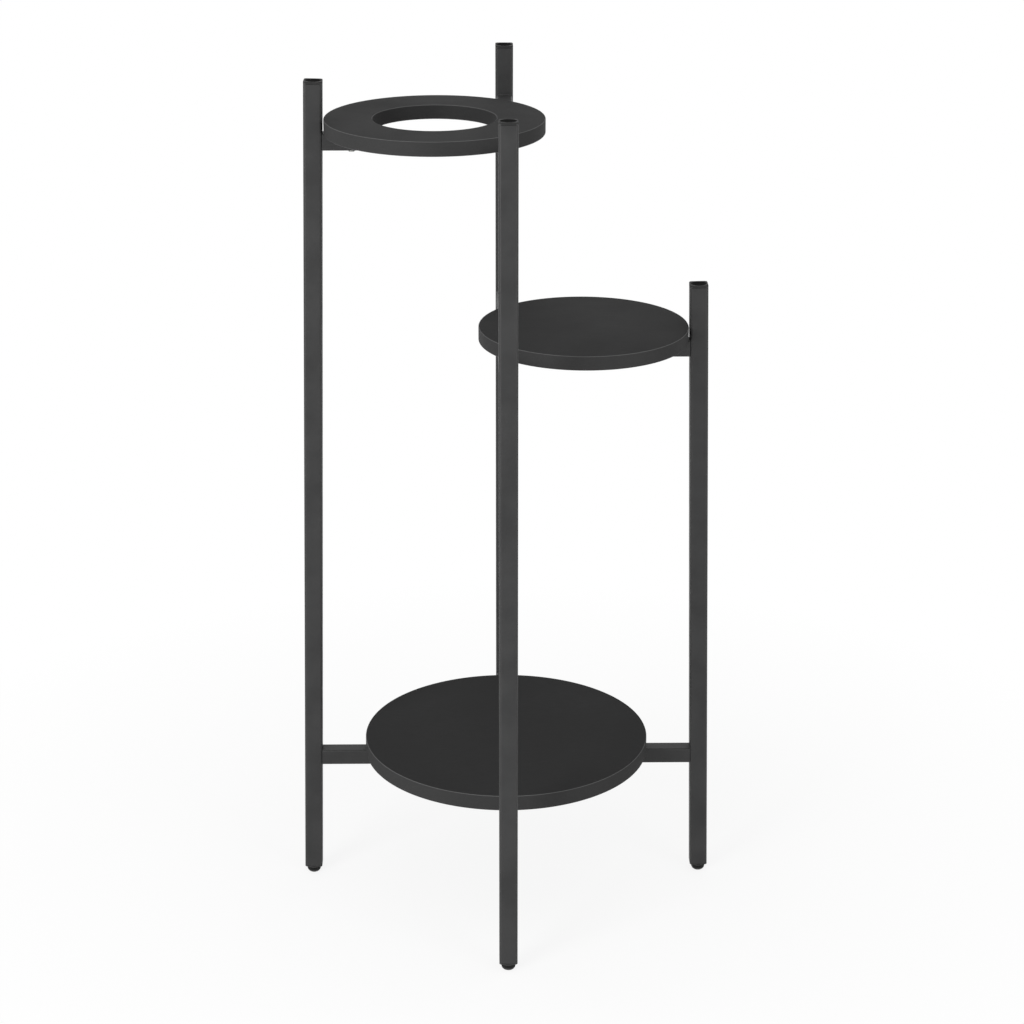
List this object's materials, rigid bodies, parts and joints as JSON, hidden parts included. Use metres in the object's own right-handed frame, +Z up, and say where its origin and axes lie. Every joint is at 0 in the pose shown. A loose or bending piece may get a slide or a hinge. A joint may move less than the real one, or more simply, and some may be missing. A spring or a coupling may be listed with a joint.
{
  "type": "tiered plant stand",
  "caption": "Tiered plant stand: leaning square-tube legs carry a round lower board, a round side board and a ring shelf with a pot hole, on screw-in glide feet.",
  "frame": {"origin": "on the floor, in the middle of the four feet", "axes": "+Z up; -Y towards the front leg, which the picture shows nearest; +X towards the short right leg"},
  "size_m": [0.4736, 0.4736, 0.9402],
  "materials": {
    "black_powder_coat": "satin black-grey powder coat with a fine texture",
    "black_board": "satin charcoal lacquer on board, rounded edge",
    "cap_plastic": "moulded black plastic",
    "insert_plastic": "moulded black nylon with gripping ribs",
    "glide_plastic": "moulded black plastic, polished underneath by use",
    "rail_insert_plastic": "moulded black plastic",
    "zinc_screw": "zinc plated",
    "black_bolt": "black oxide"
  },
  "bodies": {
    "frame": {"leg_front": "black_powder_coat", "leg_back": "black_powder_coat", "leg_left": "black_powder_coat", "leg_right": "black_powder_coat", "bottom_cross_rail": "black_powder_coat", "middle_cross_rail": "black_powder_coat", "upper_cross_rail": "black_powder_coat", "bottom_left_rail": "black_powder_coat", "bottom_right_rail": "black_powder_coat", "middle_right_rail": "black_powder_coat", "upper_left_rail": "black_powder_coat", "bottom_shelf": "black_board", "middle_shelf": "black_board", "upper_shelf_ring": "black_board", "cap_front": "cap_plastic", "cap_back": "cap_plastic", "cap_left": "cap_plastic", "cap_right": "cap_plastic", "upper_left_rail_plug": "cap_plastic", "foot_insert_front": "insert_plastic", "foot_insert_back": "insert_plastic", "foot_insert_left": "insert_plastic", "foot_insert_right": "insert_plastic", "bottom_left_rail_insert": "rail_insert_plastic", "bottom_right_rail_insert": "rail_insert_plastic", "middle_right_rail_insert": "rail_insert_plastic", "upper_left_rail_insert": "rail_insert_plastic", "bottom_shelf_screws": "zinc_screw", "middle_shelf_screws": "zinc_screw", "upper_shelf_screws": "zinc_screw", "left_leg_bolts": "black_bolt", "right_leg_bolts": "black_bolt"},
    "foot_front": {"foot_front": "glide_plastic"},
    "foot_back": {"foot_back": "glide_plastic"},
    "foot_left": {"foot_left": "glide_plastic"},
    "foot_right": {"foot_right": "glide_plastic"}
  },
  "joints": [
    {"name": "foot_front_travel", "type": "slide", "parent": "frame", "child": "foot_front", "axis": [0, -0.0244, -0.9997], "range_m": [0, 0.008]},
    {"name": "foot_back_travel", "type": "slide", "parent": "frame", "child": "foot_back", "axis": [0, 0.0244, -0.9997], "range_m": [0, 0.008]},
    {"name": "foot_left_travel", "type": "slide", "parent": "frame", "child": "foot_left", "axis": [-0.0244, 0, -0.9997], "range_m": [0, 0.008]},
    {"name": "foot_right_travel", "type": "slide", "parent": "frame", "child": "foot_right", "axis": [0.0244, 0, -0.9997], "range_m": [0, 0.008]}
  ]
}
